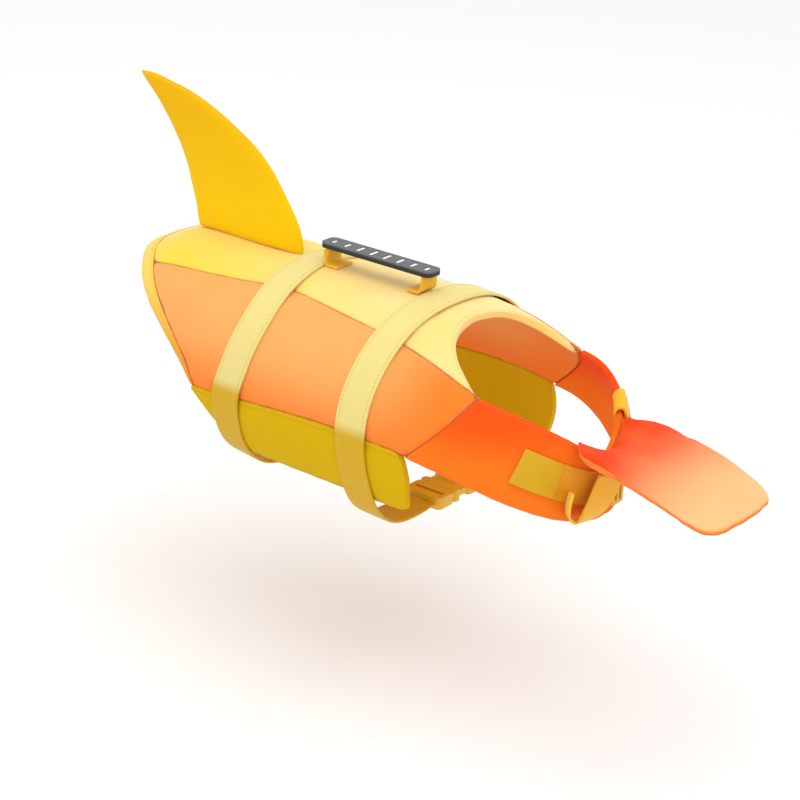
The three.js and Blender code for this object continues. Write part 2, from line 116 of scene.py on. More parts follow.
# Nylon jersey laminated on neoprene foam: matt, with a soft bloom at glancing angles. The knit is
# 0.5 mm in life and is drawn at 1.1 mm to show at all; the foam under it is uneven over 14 mm.
# The first two colours fade along an axis, which paints light and shade on the piece; "under" paints shade on
# faces that turn downward, and "front" paints shadow towards the front.
def neoprene(name, colours, axis="Z", ends=(-110, 0), bloom=0.35, under=None, front=None):
    material, tree, shader = finish(name)
    place = add(tree, "TexCoord").outputs["Object"]
    colour = fading(tree, place, axis, ends, colours)
    # Painted shadow: deeper in colour towards the front.
    if front:
        colour = fading(tree, place, "X", front[0], (colour, front[1]))
    # Painted shade: deeper in colour on faces that turn downward.
    if under:
        facing = add(tree, "SeparateXYZ", {0: add(tree, "TexCoord").outputs["Normal"]}).outputs["Z"]
        turned = {"Value": facing, "From Min": 0.75, "From Max": 0.05}
        share = add(tree, "MapRange", turned, interpolation_type="SMOOTHSTEP").outputs[0]
        shaded = {0: share, 6: colour, 7: linear(under)}
        colour = add(tree, "Mix", shaded, data_type="RGBA").outputs[2]
    cloudy = add(tree, "TexNoise", {"Vector": place, "Scale": 1 / (55 * MM), "Detail": 2})
    worn = {0: cloudy.outputs[0], 6: colour, 7: linear(colours[2])}
    aged = add(tree, "Mix", worn, data_type="RGBA", blend_type="MIX")
    faint = {"Value": cloudy.outputs[0], "From Min": 0.45, "From Max": 0.75, "To Max": 0.3}
    tree.links.new(add(tree, "MapRange", faint).outputs[0], aged.inputs[0])
    knit = add(tree, "TexVoronoi", {"Vector": place, "Scale": 1 / (1.1 * MM)})
    foam = add(tree, "TexNoise", {"Vector": place, "Scale": 1 / (14 * MM), "Detail": 3})
    soft = add(tree, "Bump", {"Height": foam.outputs[0], "Strength": 0.35, "Distance": 1 * MM})
    fine = {"Height": knit.outputs[0], "Strength": 0.16, "Distance": 0.3 * MM}
    bump = add(tree, "Bump", {**fine, "Normal": soft.outputs[0]})
    tree.links.new(aged.outputs[2], shader.inputs["Base Color"])
    tree.links.new(bump.outputs[0], shader.inputs["Normal"])
    shader.inputs["Roughness"].default_value = 0.82
    shader.inputs["Specular IOR Level"].default_value = 0.12
    shader.inputs["Sheen Weight"].default_value = bloom
    shader.inputs["Sheen Roughness"].default_value = 0.45
    return material


# Woven polyester webbing: 1.5 mm picks in a chevron that turns every 6 mm, with a satin face. It
# reads the strap's own map, in metres along and across it.
def webbing(name, colours, axis="Z", ends=(-105, -15)):
    material, tree, shader = finish(name)
    source = add(tree, "TexCoord")
    # The colour fades between the first two colours along an axis: painted light and shade.
    colour = fading(tree, source.outputs["Object"], axis, ends, colours)
    split = add(tree, "SeparateXYZ", {0: source.outputs["UV"]})
    turned = {0: split.outputs["Y"], 1: 3.1 * MM}
    chevron = add(tree, "Math", turned, operation="PINGPONG")
    lean = {0: chevron.outputs[0], 1: 0.55, 2: split.outputs["X"]}
    course = add(tree, "Math", lean, operation="MULTIPLY_ADD")
    pick = {0: course.outputs[0], 1: 2 * math.pi / (1.5 * MM)}
    rib = add(tree, "Math", {0: add(tree, "Math", pick, operation="MULTIPLY").outputs[0]}, operation="SINE")
    # Painted shade: the hollows between the picks are darker, towards the third colour.
    hollow = {"Value": rib.outputs[0], "From Min": -1, "From Max": 1, "To Min": 0.22, "To Max": 0}
    depth = add(tree, "MapRange", hollow)
    shaded = {0: depth.outputs[0], 6: colour, 7: linear(colours[2])}
    woven = add(tree, "Mix", shaded, data_type="RGBA")
    bump = add(tree, "Bump", {"Height": rib.outputs[0], "Strength": 0.3, "Distance": 0.12 * MM})
    tree.links.new(woven.outputs[2], shader.inputs["Base Color"])
    tree.links.new(bump.outputs[0], shader.inputs["Normal"])
    shader.inputs["Roughness"].default_value = 0.6
    shader.inputs["Specular IOR Level"].default_value = 0.3
    shader.inputs["Sheen Weight"].default_value = 0.1
    shader.inputs["Sheen Roughness"].default_value = 0.4
    return material


# Spun polyester sewing thread: two plies, a little shinier than the cloth.
def thread(name, colour):
    material, tree, shader = finish(name)
    place = add(tree, "TexCoord").outputs["Object"]
    twist = add(tree, "TexNoise", {"Vector": place, "Scale": 1 / (0.6 * MM), "Detail": 1})
    bump = add(tree, "Bump", {"Height": twist.outputs[0], "Strength": 0.3, "Distance": 0.1 * MM})
    tree.links.new(bump.outputs[0], shader.inputs["Normal"])
    shader.inputs["Base Color"].default_value = linear(colour)
    shader.inputs["Roughness"].default_value = 0.5
    return material


# Injection-moulded acetal, mould-textured: a soft gloss with a faint grain of 0.5 mm.
def acetal(name, colour):
    material, tree, shader = finish(name)
    place = add(tree, "TexCoord").outputs["Object"]
    grain = add(tree, "TexNoise", {"Vector": place, "Scale": 1 / (0.5 * MM), "Detail": 2})
    bump = add(tree, "Bump", {"Height": grain.outputs[0], "Strength": 0.12, "Distance": 0.1 * MM})
    tree.links.new(bump.outputs[0], shader.inputs["Normal"])
    shader.inputs["Base Color"].default_value = linear(colour)
    shader.inputs["Roughness"].default_value = 0.38
    shader.inputs["IOR"].default_value = 1.48
    return material


# Moulded thermoplastic rubber: near black on its sides, with a paler blue-grey top that is a painted highlight.
def rubber(name, side, top, height):
    material, tree, shader = finish(name)
    place = add(tree, "TexCoord").outputs["Object"]
    # Painted highlight: the top is paler than the sides.
    colour = fading(tree, place, "Z", height, (side, top))
    grain = add(tree, "TexNoise", {"Vector": place, "Scale": 1 / (0.8 * MM), "Detail": 3})
    spread = {"Value": grain.outputs[0], "To Min": 0.42, "To Max": 0.6}
    rough = add(tree, "MapRange", spread)
    bump = add(tree, "Bump", {"Height": grain.outputs[0], "Strength": 0.3, "Distance": 0.15 * MM})
    tree.links.new(colour, shader.inputs["Base Color"])
    tree.links.new(rough.outputs[0], shader.inputs["Roughness"])
    tree.links.new(bump.outputs[0], shader.inputs["Normal"])
    shader.inputs["IOR"].default_value = 1.5
    return material


# Painted light: the back is paler towards the front, and paler than the fin, where more light falls on it.
BACK_YELLOW = neoprene(
    "nylon-faced neoprene, yellow, painted paler to the front", ("#f4cd2e", "#f7d685", "#f3c540"), "X", (-120, 130), 0.5
)
# Painted shade: darker and more orange towards the bottom.
BORDER_YELLOW = neoprene(
    "nylon-faced neoprene, bright yellow", ("#e58e10", "#f5cb50", "#efbb28"), ends=(-70, -10), bloom=0.3
)
# Painted shade: darker towards the top of the fin.
FIN_YELLOW = neoprene(
    "nylon-faced neoprene, golden yellow", ("#f0c402", "#e5ae02", "#eab602"), ends=(12, 118), bloom=0.03
)
# Painted shade: this yellow is darkened for the shade the lower panels lie in, and a little darker low down.
LOW_YELLOW = neoprene(
    "nylon-faced neoprene, yellow in painted shade", ("#cfa902", "#d3ae02", "#cca402"), bloom=0
)
# Painted light and shade: pale at the top, deeper orange low down, and deeper orange towards the front, where a
# painted shadow falls.
SIDE_ORANGE = neoprene(
    "nylon-faced neoprene, orange with painted light and shade", ("#f47619", "#f4a65c", "#f2964a"), ends=(-90, -24), bloom=0.12,
    front=((118, 205), "#f57a20"),
)
# Painted shadow: the band is redder than the side panels, most of all towards its top, where shadow falls on it.
BAND_ORANGE = neoprene(
    "nylon-faced neoprene, orange, redder in painted shadow", ("#f37a18", "#f24a08", "#f36416"), ends=(-76, -36), bloom=0.05
)
# Painted light and shade: deep red orange at the root, pale at the tip, and deeper orange on faces that turn
# downward.
FLOAT_ORANGE = neoprene(
    "nylon-faced neoprene, orange", ("#e43e04", "#f7ba80", "#f2a05a"), "X", (292, 375), 0.06, "#f08a3a"
)
# Painted light and shade: pale above, and amber below, where the belts turn downward.
BELT_WEB = webbing("woven polyester webbing, pale yellow", ("#cfa40c", "#e5d688", "#c39618"), ends=(-70, -58))
# Painted shade: the strap is coloured as it looks in shade, a little darker towards the right side.
STRAP_WEB = webbing("woven polyester webbing, yellow in painted shade", ("#f09a0c", "#e09a12", "#b87a10"), "Y", (-12, -26))
LOOP_WEB = webbing("woven polyester webbing, gold", ("#f2bc30", "#f5c23c", "#c08e1a"))
PATCH_WEB = webbing("woven polyester webbing, mustard", ("#d5a508", "#d6a70a", "#b38510"))
TAB_WEB = webbing("woven polyester webbing, yellow", ("#f0ae10", "#f4bc22", "#b98a1a"))
YELLOW_THREAD = thread("polyester thread, yellow", "#dcc050")
AMBER_THREAD = thread("polyester thread, amber", "#c89a10")
BROWN_THREAD = thread("polyester thread, brown yellow", "#a9790c")
ORANGE_THREAD = thread("polyester thread, orange", "#f2762a")
RIM_THREAD = thread("overlocked seam, deep orange", "#e8782a")
SEAM_THREAD = thread("overlocked seam allowance, brown orange", "#b9682c")
BUCKLE_ACETAL = acetal("moulded acetal, yellow", "#dcae1c")
GRIP_RUBBER = rubber("moulded thermoplastic rubber, dark grey", "#1b1e1c", "#55585c", (24.6, 25.4))
PALE_RUBBER = rubber("moulded thermoplastic rubber, pale", "#d8d4c0", "#f4f2e6", (23, 25))


# Meshes

def copied(name):
    """A CAD node's own mesh, with its loose triangles merged at their corners."""
    bm = bmesh.new()
    bm.from_mesh(nodes[name].data)
    bmesh.ops.remove_doubles(bm, verts=bm.verts, dist=0.02 * MM)
    return bm


def forms(bm, axis=None):
    """Groups of faces: outside, inside, then the rim. They are parted by sharp edges, the largest
    first, or where an axis is given by the side of it that they face, as the rim faces neither."""
    for elements in (bm.verts, bm.edges, bm.faces):
        elements.index_update()
    bm.normal_update()
    if axis is not None:
        sides = [[face for face in bm.faces if way * face.normal[axis] > 0.005] for way in (1, -1)]
        return sides + [[face for face in bm.faces if abs(face.normal[axis]) <= 0.005]]
    left = {face.index for face in bm.faces}
    groups = []
    for first in bm.faces:
        if first.index not in left:
            continue
        left.discard(first.index)
        group, queue = [first], [first]
        while queue:
            for edge in queue.pop().edges:
                if edge.calc_face_angle(math.pi) > SHARP:
                    continue
                for face in edge.link_faces:
                    if face.index in left:
                        left.discard(face.index)
                        group.append(face)
                        queue.append(face)
        groups.append(group)
    return sorted(groups, key=lambda group: -sum(face.calc_area() for face in group))


def diagonals(faces):
    """The edges that cut the squares of a grid in two. Two triangles with an edge in common make a
    four-sided form, and its opposite sides run the same way through the grid."""
    inside = {face.index for face in faces}
    way = {edge.index: k for k, edge in enumerate(faces[0].edges)}
    seen, queue, edges = {faces[0].index}, [faces[0]], list(faces[0].edges)
    while queue:
        face = queue.pop()
        for edge in face.edges:
            for other in edge.link_faces:
                if other.index not in inside or other.index in seen:
                    continue
                seen.add(other.index)
                queue.append(other)
                for side in other.edges:
                    if side.index == edge.index:
                        continue
                    shared = next(vert for vert in side.verts if vert in edge.verts)
                    across = next(e for e in face.edges if shared not in e.verts)
                    if side.index not in way:
                        edges.append(side)
                    way[side.index] = way[across.index]
    for face in faces:
        for vert in face.verts:
            if sum(other.index in inside for other in vert.link_faces) == 1:
                cut = next(edge for edge in face.edges if vert not in edge.verts)
                return [edge for edge in edges if way[edge.index] == way[cut.index]]


def squares(bm, axis=None):
    """Join the triangles of a shell into squares, and give its outside and inside faces."""
    doomed = [edge for group in forms(bm, axis)[:2] for edge in diagonals(group)]
    bmesh.ops.dissolve_edges(bm, edges=doomed, use_verts=False)
    loose = [face for face in bm.faces if len(face.verts) == 3]
    wide = math.radians(70)
    bmesh.ops.join_triangles(bm, faces=loose, angle_face_threshold=wide, angle_shape_threshold=wide)
    return forms(bm, axis)[:2]


def grid_rows(faces):
    """The corners of a grid of squares, in rows across its shorter way."""
    inside = {face.index for face in faces}

    def count(vert):
        return sum(face.index in inside for face in vert.link_faces)

    def rim(edge):
        return sum(face.index in inside for face in edge.link_faces) == 1

    corner = next(vert for face in faces for vert in face.verts if count(vert) == 1)
    sides = []
    for step in [edge for edge in corner.link_edges if rim(edge)]:
        side = [corner, step.other_vert(corner)]
        while count(side[-1]) > 1:
            step = next(e for e in side[-1].link_edges if rim(e) and e.index != step.index)
            side.append(step.other_vert(side[-1]))
        sides.append(side)
    rows, used = [min(sides, key=len)], set()
    while True:
        used |= {vert.index for vert in rows[-1]}
        following = []
        for vert in rows[-1]:
            for edge in vert.link_edges:
                mate = edge.other_vert(vert)
                if mate.index not in used and any(face.index in inside for face in edge.link_faces):
                    following.append(mate)
        if len(following) != len(rows[0]):
            break
        rows.append(following)
    middle = len(rows[0]) // 2
    if max(rows[-1][middle].co - rows[0][middle].co, key=abs) < 0:
        rows.reverse()
    if max(rows[len(rows) // 2][-1].co - rows[len(rows) // 2][0].co, key=abs) < 0:
        rows = [row[::-1] for row in rows]
    return rows


def ring(rows):
    """The corners round the outside of a grid, the first one again at the end."""
    left, right = [row[0] for row in rows], [row[-1] for row in rows]
    return rows[0] + right[1:] + rows[-1][::-1][1:] + left[::-1][1:]


def evenly(points, step):
    """Points about a step apart along a line."""
    lengths = [0]
    for a, b in zip(points, points[1:]):
        lengths.append(lengths[-1] + (b - a).length)
    count = max(1, round(lengths[-1] / step))
    placed, k = [], 0
    for n in range(count + 1):
        at = lengths[-1] * n / count
        while k < len(points) - 2 and lengths[k + 1] < at:
            k += 1
        span = lengths[k + 1] - lengths[k]
        placed.append(points[k].lerp(points[k + 1], (at - lengths[k]) / span if span else 0))
    return placed


def tree_of(points):
    tree = KDTree(len(points))
    for k, point in enumerate(points):
        tree.insert(point, k)
    tree.balance()
    return tree


def set_map(bm, rows):
    """Write a map in metres along and across a strap, from the rows of its outside."""
    middle = len(rows[0]) // 2
    corners, places = [], []
    far = 0
    for i, row in enumerate(rows):
        if i:
            far += (row[middle].co - rows[i - 1][middle].co).length
        for vert in row:
            corners.append(vert.co.copy())
            places.append((far, (vert.co - row[0].co).length))
    near, layer = tree_of(corners), bm.loops.layers.uv.new("strap")
    for face in bm.faces:
        for loop in face.loops:
            loop[layer].uv = places[near.find(loop.vert.co)[1]]


def round_rim(bm, faces, radius):
    """Round the edges between a group of faces and the rest."""
    inside = {face.index for face in faces}
    edges = [e for f in faces for e in f.edges if sum(x.index in inside for x in e.link_faces) == 1]
    bmesh.ops.bevel(
        bm, geom=edges, offset=radius, offset_type="OFFSET", segments=2, profile=0.5,
        affect="EDGES", clamp_overlap=True, material=-1,
    )


def hold_edges(bm, faces):
    """Keep a wall's edges crisp where they aren't rounded, so that neighbours meet at their seams."""
    inside = {face.index for face in faces}
    layer = bm.edges.layers.float.get("crease_edge") or bm.edges.layers.float.new("crease_edge")
    for edge in bm.edges:
        if edge.calc_face_angle(0) > SHARP and not any(f.index in inside for f in edge.link_faces):
            edge[layer] = 1


def evaluated(bm, kind, **settings):
    """The same shape with one modifier worked in."""
    mesh = bpy.data.meshes.new("unfinished")
    bm.to_mesh(mesh)
    bm.free()
    obj = bpy.data.objects.new("unfinished", mesh)
    scene.collection.objects.link(obj)
    modifier = obj.modifiers.new("worked in", kind)
    for name, value in settings.items():
        setattr(modifier, name, value)
    bpy.context.view_layer.update()
    fine = bmesh.new()
    fine.from_object(obj, bpy.context.evaluated_depsgraph_get())
    bpy.data.objects.remove(obj)
    bpy.data.meshes.remove(mesh)
    return fine


def subdivided(bm, levels):
    return evaluated(bm, "SUBSURF", levels=levels, render_levels=levels)


def piece(name, bm, material, slot, *replaced, flat_angle=None):
    """Make a finished mesh an object that rides on the jacket."""
    mesh = bpy.data.meshes.new(name)
    bm.to_mesh(mesh)
    bm.free()
    mesh.materials.append(material)
    mesh.shade_smooth()
    if flat_angle:
        mesh.set_sharp_from_angle(angle=math.radians(flat_angle))
    obj = bpy.data.objects.new(name, mesh)
    scene.collection.objects.link(obj)
    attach(obj, BODY)
    if replaced:
        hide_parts(*replaced)
    return obj


def move_out(bm, rise):
    """Move every point along its own normal by a function of its place."""
    bm.normal_update()
    moves = [vert.normal * rise(vert.co) for vert in bm.verts]
    for vert, move in zip(bm.verts, moves):
        vert.co += move


def soft_line(start, end, depth, width):
    """A crease between two points in mm: how far in the cloth goes at a place. It dies away at its
    ends and to its sides."""
    first, last = Vector(start) * MM, Vector(end) * MM
    run = last - first

    def sink(at):
        share = min(max((at - first).dot(run) / run.length_squared, 0), 1)
        aside = (at - first - run * share).length / (width * MM)
        return depth * MM * math.exp(-(aside ** 2)) * (0.25 + 0.75 * math.sin(math.pi * share))

    return sink


# Cloth panels

PUCKER = 0.42 * MM  # how far the cloth draws up between its stitches
PUCKER_REACH = 6 * MM
PUCKER_LENGTH = 9 * MM
SWELL = 0.5 * MM  # broad unevenness of the foam
SWELL_LENGTH = 48 * MM


BEAD_DEPTH = 0.36  # share of a panel's thickness at which its seam allowance lies
beads = {}


def mate(vert, inside):
    """The corner of a wall's inside that lies behind a corner of its outside's rim."""
    mates = [edge.other_vert(vert) for edge in vert.link_edges]
    mates = [m for m in mates if not any(face.index in inside for face in m.link_faces)]
    return min(mates, key=lambda m: (m.co - vert.co).length)


def bead_lines(rows, outside):
    """Lines inside a wall along its four edges: first and last row, first and last column."""
    inside = {face.index for face in outside}
    edges = rows[0], rows[-1], [row[0] for row in rows], [row[-1] for row in rows]
    return [[vert.co.lerp(mate(vert, inside).co, BEAD_DEPTH) for vert in edge] for edge in edges]


def panel(name, node, material, slot, radius, creases=(), lip=None):
    """A panel of foam-backed cloth on its solid's form, with a rounded and drawn-up edge."""
    bm = copied(node)
    outside, _ = squares(bm)
    rows = grid_rows(outside)
    points = [[vert.co.copy() for vert in row] for row in rows]
    edge = tree_of(evenly(ring(points), 1.5 * MM))
    beads[node] = bead_lines(rows, outside)
    hold_edges(bm, outside)
    round_rim(bm, outside, radius * MM)
    bm = subdivided(bm, 2)

    def rise(at):
        near = math.exp(-edge.find(at)[2] / PUCKER_REACH)
        up = PUCKER * near * noise.noise(at / PUCKER_LENGTH)
        up += SWELL * (1 - near) * noise.noise(at / SWELL_LENGTH)
        up -= sum(crease(at) for crease in creases)
        return up + (lip(at) if lip else 0)

    move_out(bm, rise)
    surface = BVHTree.FromBMesh(bm)
    return piece(name, bm, material, slot, node), points, surface


def strap(name, node, material, slot, *replaced, radius=0.5, levels=2, shape=None):
    """Webbing on its solid's form, mapped along and across for its weave."""
    bm = copied(node)
    outside, _ = squares(bm)
    rows = grid_rows(outside)
    points = [[vert.co.copy() for vert in row] for row in rows]
    set_map(bm, rows)
    hold_edges(bm, outside)
    round_rim(bm, outside, radius * MM)
    bm = subdivided(bm, levels)
    if shape:
        move_out(bm, shape)
    surface = BVHTree.FromBMesh(bm)
    return piece(name, bm, material, slot, node, *replaced), points, surface


# Sides are mirrored, but their creases are not: each is listed, in mm.
SIDE_CREASES = {
    "right": [
        soft_line((186, -70, -96), (150, -92, -70), 1.5, 6),
        soft_line((194, -72, -78), (168, -86, -58), 1.1, 7),
        soft_line((150, -99, -62), (166, -92, -46), 0.7, 4),
        soft_line((112, -104, -66), (60, -105, -78), 0.7, 9),
        soft_line((33, -104, -52), (62, -103, -60), 0.6, 5),
        soft_line((-8, -98, -50), (-52, -96, -66), 0.8, 8),
        soft_line((-40, -84, -26), (-88, -78, -34), 0.7, 8),
    ],
    "left": [
        soft_line((188, 72, -92), (152, 92, -72), 1.3, 6),
        soft_line((196, 74, -72), (164, 88, -50), 1.0, 7),
        soft_line((108, 104, -58), (66, 105, -74), 0.8, 9),
        soft_line((-2, 99, -62), (-46, 96, -58), 0.8, 8),
        soft_line((-46, 84, -28), (-80, 79, -30), 0.6, 7),
    ],
}
BACK_CREASES = [
    soft_line((126, -6, 6), (150, -34, -2), 0.9, 8),
    soft_line((142, 8, 4), (168, 44, -10), 0.9, 9),
    soft_line((34, 24, 4), (96, 34, 0), 0.7, 10),
    soft_line((30, -30, 2), (92, -26, 3), 0.6, 9),
    soft_line((-118, -20, -2), (-110, 24, -2), 0.8, 8),
]
LOW_CREASES = {
    "right": [
        soft_line((150, -84, -104), (168, -80, -96), 0.7, 5),
        soft_line((52, -96, -104), (92, -96, -108), 0.7, 8),
    ],
    "left": [
        soft_line((146, 84, -106), (166, 82, -94), 0.8, 5),
        soft_line((44, 96, -100), (84, 96, -108), 0.7, 8),
    ],
}
BAND_CREASES = {
    "right": [
        soft_line((206, -64, -64), (228, -56, -92), 1.0, 7),
        soft_line((232, -58, -74), (262, -36, -84), 0.9, 6),
        soft_line((196, -74, -92), (222, -62, -104), 0.9, 5),
        soft_line((278, -22, -86), (282, -8, -90), 0.8, 5),
    ],
    "left": [
        soft_line((208, 64, -60), (230, 56, -88), 1.0, 7),
        soft_line((236, 56, -76), (262, 38, -86), 0.8, 6),
        soft_line((198, 74, -90), (226, 62, -106), 0.9, 5),
    ],
}

cloths = {}
back = panel("back_cloth", "back_panel", BACK_YELLOW, "cloth_yellow", 1.5, BACK_CREASES)
cloths["back"] = back
cloths["border"] = panel("rear_border_cloth", "rear_border", BORDER_YELLOW, "cloth_yellow", 0.8)


def lipped(points):
    """The lower panel's top edge is turned over the side panel: a narrow bright lip, drawn into
    shallow scallops by its stitches."""
    top = tree_of(evenly(points, 1 * MM))

    def lip(at):
        near, k, away = top.find(at)
        scallop = 0.75 + 0.25 * math.sin(2 * math.pi * k * MM / (11 * MM))
        return 0.9 * MM * scallop * math.exp(-((away / (2.6 * MM)) ** 4))

    return lip


def top_edge(node):
    """The upper long edge of a lower panel."""
    bm = copied(node)
    rows = grid_rows(squares(bm)[0])
    edges = [[row[0].co.copy() for row in rows], [row[-1].co.copy() for row in rows]]
    bm.free()
    return max(edges, key=lambda edge: sum(point.z for point in edge))


for hand in ("right", "left"):
    cloths["side " + hand] = panel(
        "side_cloth_" + hand, "side_panel_" + hand, SIDE_ORANGE, "cloth_orange", 1.5,
        SIDE_CREASES[hand],
    )
    cloths["low " + hand] = panel(
        "lower_cloth_" + hand, "lower_panel_" + hand, LOW_YELLOW, "cloth_mustard", 1.2,
        LOW_CREASES[hand], lipped(top_edge("lower_panel_" + hand)),
    )
    cloths["band " + hand] = panel(
        "chest_cloth_" + hand, "chest_band_" + hand, BAND_ORANGE, "cloth_orange", 1.1,
        BAND_CREASES[hand],
    )


# Foam fillings: the fin and the chin float

def rim_line(outside, share):
    """A line round a piece's rim, at a share of the way from its outside to its inside."""
    inside = {face.index for face in outside}
    line = [vert.co.lerp(mate(vert, inside).co, share) for vert in ring(grid_rows(outside))]
    return evenly(line, 1 * MM)


def groove(line, depth, width):
    """A sewn seam sunk into a piece along a line."""
    near = tree_of(line)
    return lambda at: depth * MM * math.exp(-((near.find(at)[2] / (width * MM)) ** 2))


SEWN_DEPTH = 1.8 * MM  # the fin's foot is sewn into the back


def make_fin():
    bm = copied("fin")
    outside, _ = squares(bm, 1)
    seam = groove(rim_line(outside, 0.5), 0.9, 1.3)
    foot = 3 * MM
    bm = subdivided(bm, 2)

    def rise(at):
        free = min(max((at.z - foot) / (12 * MM), 0), 1)
        dimple = 0.5 * MM * noise.noise(at / (30 * MM)) + 0.15 * MM * noise.noise(at / (9 * MM))
        return free * (dimple - seam(at))

    move_out(bm, rise)
    for vert in bm.verts:
        floor = back[2].ray_cast(Vector((vert.co.x, 0, 0.05)), Vector((0, 0, -1)))[0]
        if floor and vert.co.z < floor.z + SEWN_DEPTH * 3:
            vert.co.z -= SEWN_DEPTH * (1 - max(vert.co.z - floor.z, 0) / (SEWN_DEPTH * 3))
    surface = BVHTree.FromBMesh(bm)
    obj = piece("fin_foam", bm, FIN_YELLOW, "foam_yellow", "fin")
    return obj, surface


VOXEL = 2.5 * MM
STARTS_SMALLER = 1.6 * MM
SWELLS_AT_MOST = 4 * MM
HELD_BEFORE, FREE_AFTER = 288 * MM, 312 * MM  # the float's root is sewn down, its blade is free


def blown_up(bm):
    """Swell a closed cloth skin with the cloth simulation, held at its root and capped."""
    mesh = bpy.data.meshes.new("skin")
    bm.to_mesh(mesh)
    skin = bpy.data.objects.new("skin", mesh)
    scene.collection.objects.link(skin)
    held = skin.vertex_groups.new(name="sewn down")
    for vert in mesh.vertices:
        free = min(max((vert.co.x - HELD_BEFORE) / (FREE_AFTER - HELD_BEFORE), 0), 1)
        held.add([vert.index], 1 - free, "REPLACE")
    cloth = skin.modifiers.new("cloth", "CLOTH")
    cloth.settings.use_pressure = True
    cloth.settings.uniform_pressure_force = 4
    cloth.settings.vertex_group_mass = held.name
    cloth.settings.effector_weights.gravity = 0
    for number in range(1, 21):
        scene.frame_set(number)
    swollen = bmesh.new()
    swollen.from_object(skin, bpy.context.evaluated_depsgraph_get())
    for vert, start in zip(swollen.verts, mesh.vertices):
        move = vert.co - start.co
        if move.length > SWELLS_AT_MOST:
            vert.co = start.co + move * (SWELLS_AT_MOST / move.length)
    bpy.data.objects.remove(skin)
    bpy.data.meshes.remove(mesh)
    scene.frame_set(1)
    bm.free()
    return swollen


def make_float():
    bm = copied("chin_float")
    outside, _ = squares(bm, 2)
    line = rim_line(outside, 0.6)
    bm = subdivided(bm, 1)
    bm = evaluated(bm, "REMESH", mode="VOXEL", voxel_size=VOXEL)
    for _ in range(5):
        bmesh.ops.smooth_vert(bm, verts=bm.verts, factor=0.5, use_axis_x=True, use_axis_y=True, use_axis_z=True)

    def free(at):
        return min(max((at.x - HELD_BEFORE) / (FREE_AFTER - HELD_BEFORE), 0), 1)

    move_out(bm, lambda at: -STARTS_SMALLER * free(at))
    bm = blown_up(bm)
    bm = subdivided(bm, 1)
    skin = BVHTree.FromBMesh(bm)
    line = [skin.find_nearest(point)[0] for point in line]
    for _ in range(3):
        line = [(a + b + c) / 3 for a, b, c in zip(line[-2:-1] + line, line, line[1:] + line[1:2])]
    seam = groove(line, 1.1, 2)
    folds = [
        soft_line((352, -34, -70), (372, -14, -72), 0.8, 8),
        soft_line((330, 26, -62), (356, 40, -66), 0.8, 7),
        soft_line((300, -26, -56), (322, -36, -60), 0.9, 7),
        soft_line((296, 8, -62), (326, 4, -60), 0.8, 9),
    ]

    def rise(at):
        dimple = 0.35 * MM * noise.noise(at / (30 * MM))
        return free(at) * (dimple - sum(fold(at) for fold in folds)) - seam(at) * (0.3 + 0.7 * free(at))

    move_out(bm, rise)
    surface = BVHTree.FromBMesh(bm)
    obj = piece("chin_float_pad", bm, FLOAT_ORANGE, "cloth_orange", "chin_float")
    line = [surface.find_nearest(point)[0] for point in line]
    rim = [point for point in line if point.x > 283 * MM]
    turn = max(range(len(rim)), key=lambda k: (rim[k] - rim[k - 1]).length)
    piece("chin_float_seam", tube([rim[turn:] + rim[:turn]], 0.55), RIM_THREAD, "cloth_orange")
    return obj, surface


def tube(lines, radius):
    """Round cords along lines of points, as one mesh."""
    curve = bpy.data.curves.new("seams", "CURVE")
    curve.dimensions, curve.bevel_depth, curve.bevel_resolution = "3D", radius * MM, 1
    curve.use_fill_caps = True
    for line in lines:
        spline = curve.splines.new("POLY")
        spline.points.add(len(line) - 1)
        for place, point in zip(spline.points, line):
            place.co = (*point, 1)
    obj = bpy.data.objects.new("seams", curve)
    scene.collection.objects.link(obj)
    bpy.context.view_layer.update()
    mesh = bpy.data.meshes.new_from_object(obj.evaluated_get(bpy.context.evaluated_depsgraph_get()))
    bm = bmesh.new()
    bm.from_mesh(mesh)
    bpy.data.objects.remove(obj)
    bpy.data.curves.remove(curve)
    bpy.data.meshes.remove(mesh)
    bmesh.ops.recalc_face_normals(bm, faces=bm.faces)
    return bm


def longer(line, extra):
    """A line that runs on a little at both ends."""
    first, last = (line[0] - line[1]).normalized(), (line[-1] - line[-2]).normalized()
    return [line[0] + first * extra * MM, *line, line[-1] + last * extra * MM]


# The seam allowances lie in the seams, close them, and show as thin darker lines.
seams = beads["back_panel"][:1] + beads["side_panel_right"] + beads["side_panel_left"]
seams = [longer(line, 1.2) for line in seams]
seams.append(evenly(beads["chest_band_right"][1], 1 * MM)[1:-1])
beading = tube(seams, 1.15)
piece("seam_allowances", beading, SEAM_THREAD, "cloth_orange")
fin_foam, fin_surface = make_fin()
float_pad, float_surface = make_float()


# Webbing

belts = {
    end: strap(f"belt_{end}_webbing", f"belt_{end}", BELT_WEB, "webbing") for end in ("rear", "front")
}
chest = strap("chest_strap_webbing", "chest_strap", STRAP_WEB, "webbing")
loop = strap("chest_strap_loop_webbing", "chest_strap_loop", LOOP_WEB, "webbing")
tab = strap("neck_tab_webbing", "neck_tab", TAB_WEB, "webbing", radius=0.4)


